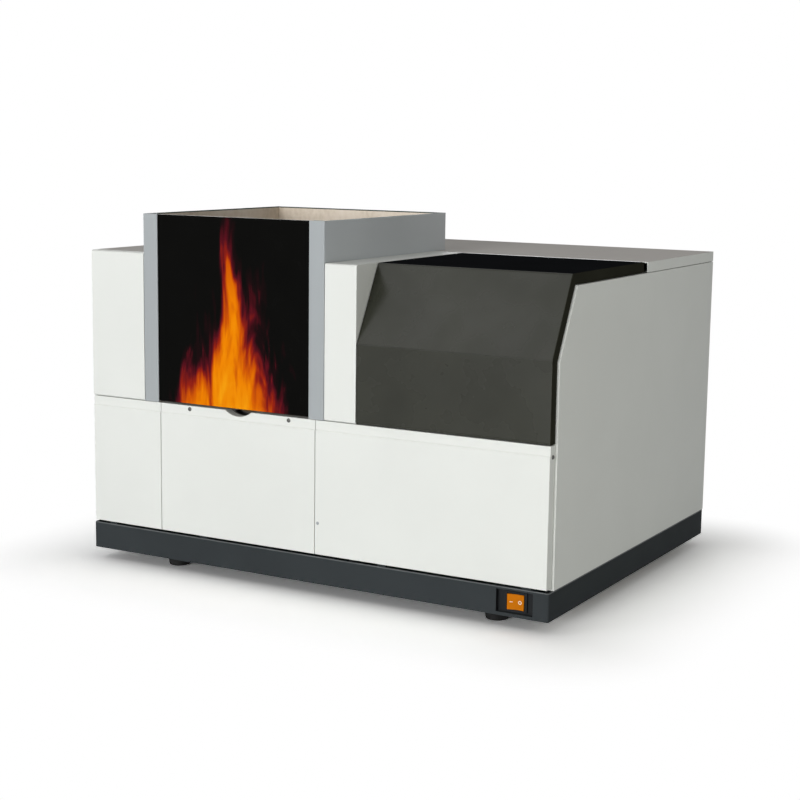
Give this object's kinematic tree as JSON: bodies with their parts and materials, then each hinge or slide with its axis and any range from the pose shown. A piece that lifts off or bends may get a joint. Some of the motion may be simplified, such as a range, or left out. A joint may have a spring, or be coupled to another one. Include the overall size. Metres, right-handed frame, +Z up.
{
  "type": "flame atomic absorption spectrometer",
  "caption": "Bench-top flame atomic absorption spectrometer: white cabinet on a dark base, open-topped flame duct behind a sliding dark glass shield, hinged hood over the lamp turret.",
  "frame": {"origin": "on the floor under the middle of the cabinet's footprint", "axes": "+X to the right seen from the front, +Y to the rear, +Z up"},
  "size_m": [0.706, 0.55, 0.491],
  "materials": {
    "white_paint": "fine powder coat, satin",
    "charcoal_paint": "fine powder coat, satin",
    "hood_paint": "satin paint",
    "grey_paint": "fine powder coat, satin",
    "heat_stained_steel": "dull, heat stained",
    "shield_glass": "dark, polished",
    "black_rubber": "matt",
    "black_plastic": "fine grain",
    "orange_plastic": "satin",
    "plated_steel": "zinc plated",
    "aluminium": "milled",
    "black_anodised": "anodised",
    "white_polymer": "smooth",
    "titanium": "heat tinted",
    "lamp_glass": "clear",
    "cathode_metal": "dull",
    "brass": "machined",
    "mirror_coat": "polished",
    "lens_glass": "polished",
    "cast_grey": "hammered paint",
    "circuit_board": "solder mask",
    "ceramic": "unglazed"
  },
  "bodies": {
    "cabinet": {"front_panel_left": "white_paint", "front_panel_burner": "white_paint", "front_panel_right": "white_paint", "left_upper_cover": "white_paint", "centre_column": "white_paint", "left_side_panel": "white_paint", "right_side_panel": "white_paint", "top_cover": "white_paint", "rear_panel": "white_paint", "base_tray": "charcoal_paint", "flame_duct": "grey_paint", "duct_liner": "heat_stained_steel", "burner_tub": "heat_stained_steel", "rubber_feet": "black_rubber", "switch_housing": "black_plastic", "power_inlet": "black_plastic", "cooling_fan": "black_plastic", "screws": "plated_steel", "front_rail": "plated_steel", "frame_hinge_leaf": "plated_steel", "fore_aft_rail": "aluminium", "optical_deck": "aluminium", "turret_stand": "aluminium", "power_supply": "aluminium", "gas_box": "aluminium", "turret_motor": "black_anodised", "deuterium_housing": "black_anodised", "optic_mounts": "black_anodised", "wavelength_actuator": "black_anodised", "detector_housing": "black_anodised", "hose_fittings": "brass", "mirrors": "mirror_coat", "lenses": "lens_glass", "mono_housing": "cast_grey", "mono_cover": "cast_grey", "main_board": "circuit_board", "ignitor": "ceramic"},
    "shield": {"flame_shield": "shield_glass", "shield_lift_bar": "black_anodised"},
    "hood": {"lamp_hood": "hood_paint", "hood_hinge_leaf": "plated_steel"},
    "rocker": {"power_rocker": "orange_plastic"},
    "carriage": {"burner_carriage": "black_anodised"},
    "elevator": {"burner_elevator": "black_anodised", "spray_chamber": "white_polymer", "nebuliser": "plated_steel", "drain_trap": "white_polymer"},
    "burner": {"burner_head": "titanium"},
    "height_adjuster": {"height_knob": "black_plastic"},
    "fore_aft_adjuster": {"fore_aft_knob": "black_plastic"},
    "turret": {"lamp_turret": "black_anodised", "lamp_bases": "black_plastic", "lamp_envelopes": "lamp_glass", "lamp_cathodes": "cathode_metal", "turret_gear": "brass"},
    "turret_drive": {"motor_pinion": "brass"},
    "plunger": {"actuator_plunger": "plated_steel"},
    "grating_mount": {"grating_table": "aluminium", "grating": "mirror_coat"},
    "fan": {"fan_rotor": "black_plastic"}
  },
  "joints": [
    {"name": "shield_lift", "type": "slide", "parent": "cabinet", "child": "shield", "axis": [0, 0, 1], "range_m": [0, 0.19]},
    {"name": "hood_hinge", "type": "hinge", "parent": "cabinet", "child": "hood", "pos_m": [0.2144, 0.012, 0.4355], "axis": [-1, 0, 0], "range_deg": [0, 85]},
    {"name": "power_switch", "type": "hinge", "parent": "cabinet", "child": "rocker", "pos_m": [0.307, -0.2662, 0.0358], "axis": [0, 0, 1], "range_deg": [-14, 0]},
    {"name": "burner_fore_aft", "type": "slide", "parent": "cabinet", "child": "carriage", "axis": [0, 1, 0], "range_m": [-0.008, 0.008]},
    {"name": "fore_aft_turn", "type": "hinge", "parent": "cabinet", "child": "fore_aft_adjuster", "pos_m": [-0.1569, -0.113, 0.1], "axis": [0, 0, 1], "range_deg": [-64, 64]},
    {"name": "burner_height", "type": "slide", "parent": "carriage", "child": "elevator", "axis": [0, 0, 1], "range_m": [-0.008, 0.008]},
    {"name": "height_turn", "type": "hinge", "parent": "carriage", "child": "height_adjuster", "pos_m": [-0.0801, -0.113, 0.127], "axis": [0, 1, 0], "range_deg": [-64, 64]},
    {"name": "burner_turn", "type": "hinge", "parent": "elevator", "child": "burner", "pos_m": [-0.1145, -0.113, 0.23], "axis": [0, 0, 1], "range_deg": [0, 90]},
    {"name": "turret_turn", "type": "hinge", "parent": "cabinet", "child": "turret", "pos_m": [0.2, -0.065, 0.299], "axis": [1, 0, 0], "continuous": true},
    {"name": "turret_motor_turn", "type": "hinge", "parent": "cabinet", "child": "turret_drive", "pos_m": [0.28, -0.0065, 0.299], "axis": [1, 0, 0], "continuous": true},
    {"name": "plunger_slide", "type": "slide", "parent": "cabinet", "child": "plunger", "axis": [0, 1, 0], "range_m": [-0.018, 0.018]},
    {"name": "grating_turn", "type": "hinge", "parent": "cabinet", "child": "grating_mount", "pos_m": [0.098, 0.13925, 0.27], "axis": [0, 0, 1], "range_deg": [-13, 13]},
    {"name": "fan_spin", "type": "hinge", "parent": "cabinet", "child": "fan", "pos_m": [0.188, 0.22, 0.129], "axis": [0, 1, 0], "continuous": true}
  ],
  "couplings": [
    {"joint": "fore_aft_turn", "follows": "burner_fore_aft", "rad_per_m": 138.89},
    {"joint": "height_turn", "follows": "burner_height", "rad_per_m": 138.89},
    {"joint": "turret_motor_turn", "follows": "turret_turn", "ratio": -3.3333},
    {"joint": "grating_turn", "follows": "plunger_slide", "rad_per_m": 12.5}
  ]
}
